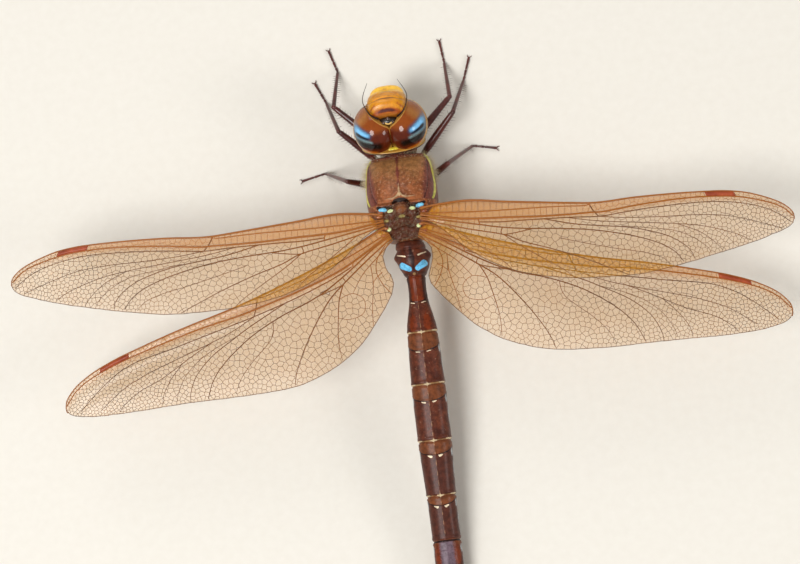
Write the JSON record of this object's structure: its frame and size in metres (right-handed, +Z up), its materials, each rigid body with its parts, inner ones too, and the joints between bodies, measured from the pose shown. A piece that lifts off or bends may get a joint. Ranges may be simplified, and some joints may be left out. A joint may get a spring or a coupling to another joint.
{
  "type": "male brown hawker dragonfly, life-size model",
  "caption": "Still, life-size male brown hawker dragonfly, wings spread flat, standing on its feet and the tip of its abdomen.",
  "frame": {"origin": "middle of the model's box, at the level of the floor it stands on", "axes": "+Z up, head towards -Y, tail towards +Y, the animal's left wings towards +X"},
  "size_m": [0.1002, 0.0826, 0.0142],
  "materials": {
    "eye_cornea": "glossy chestnut-brown facetted cornea with pale blue upper bands",
    "face_cuticle": "satin ochre cuticle",
    "black_cuticle": "glossy black-brown cuticle",
    "head_rear_cuticle": "satin yellow-brown cuticle",
    "wing_membrane": "clear amber membrane with brown veins",
    "leg_cuticle": "glossy dark maroon-brown cuticle",
    "abdomen_cuticle": "satin red-brown cuticle with cream and blue spots",
    "thorax_cuticle": "satin chestnut cuticle under fine hairs"
  },
  "bodies": {
    "root": {"abdomen_s1": "abdomen_cuticle", "abdomen_s10": "abdomen_cuticle", "abdomen_s2": "abdomen_cuticle", "abdomen_s3": "abdomen_cuticle", "abdomen_s4": "abdomen_cuticle", "abdomen_s5": "abdomen_cuticle", "abdomen_s6": "abdomen_cuticle", "abdomen_s7": "abdomen_cuticle", "abdomen_s8": "abdomen_cuticle", "abdomen_s9": "abdomen_cuticle", "antenna_left": "black_cuticle", "antenna_right": "black_cuticle", "cercus_left": "abdomen_cuticle", "cercus_right": "abdomen_cuticle", "clypeus": "face_cuticle", "coxa_front_left": "thorax_cuticle", "coxa_front_right": "thorax_cuticle", "coxa_hind_left": "thorax_cuticle", "coxa_hind_right": "thorax_cuticle", "coxa_middle_left": "thorax_cuticle", "coxa_middle_right": "thorax_cuticle", "epiproct": "abdomen_cuticle", "eye_left": "eye_cornea", "eye_right": "eye_cornea", "femur_front_left": "leg_cuticle", "femur_front_right": "leg_cuticle", "femur_hind_left": "leg_cuticle", "femur_hind_right": "leg_cuticle", "femur_middle_left": "leg_cuticle", "femur_middle_right": "leg_cuticle", "forewing_left": "wing_membrane", "forewing_right": "wing_membrane", "frons": "face_cuticle", "head_rear": "head_rear_cuticle", "hindwing_left": "wing_membrane", "hindwing_right": "wing_membrane", "labium": "face_cuticle", "labrum": "face_cuticle", "mesonotum": "thorax_cuticle", "metanotum": "thorax_cuticle", "prothorax": "thorax_cuticle", "pterothorax": "thorax_cuticle", "tarsus_front_left": "leg_cuticle", "tarsus_front_right": "leg_cuticle", "tarsus_hind_left": "leg_cuticle", "tarsus_hind_right": "leg_cuticle", "tarsus_middle_left": "leg_cuticle", "tarsus_middle_right": "leg_cuticle", "tibia_front_left": "leg_cuticle", "tibia_front_right": "leg_cuticle", "tibia_hind_left": "leg_cuticle", "tibia_hind_right": "leg_cuticle", "tibia_middle_left": "leg_cuticle", "tibia_middle_right": "leg_cuticle", "vertex": "black_cuticle"}
  },
  "joints": []
}
